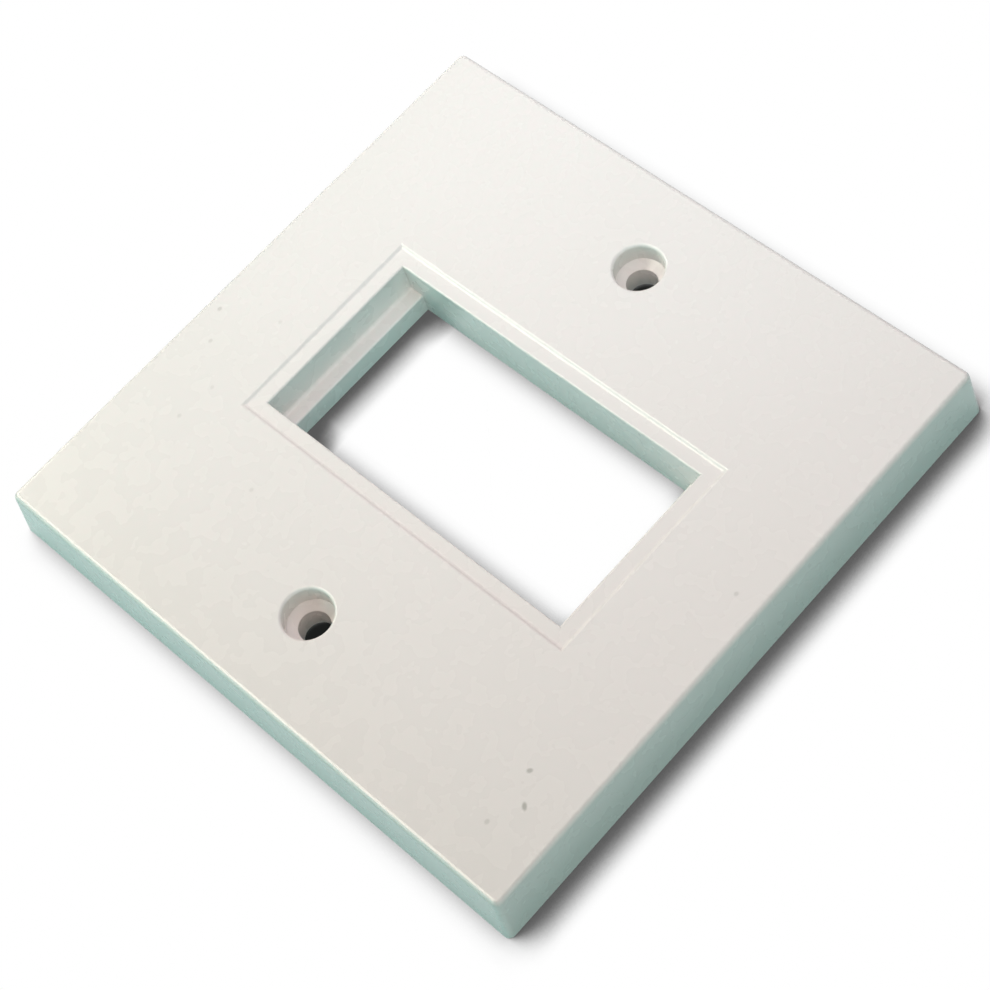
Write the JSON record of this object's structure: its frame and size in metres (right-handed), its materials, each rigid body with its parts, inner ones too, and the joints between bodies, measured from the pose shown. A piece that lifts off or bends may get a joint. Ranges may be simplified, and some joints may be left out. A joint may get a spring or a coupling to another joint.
{
  "type": "wall faceplate",
  "caption": "Square white moulded wall faceplate with leaning sides, a sunk border round a rectangular clip-in module opening with end ledges, and recessed screw holes either side.",
  "frame": {"origin": "middle of the rim plane, the plane that meets the wall", "axes": "+Z out of the front face, +X along the line of the two screws, +Y along the long side of the opening"},
  "size_m": [0.086, 0.086, 0.0085],
  "materials": {
    "white_plastic": "satin moulded plastic"
  },
  "bodies": {
    "root": {"faceplate": "white_plastic"}
  },
  "joints": []
}
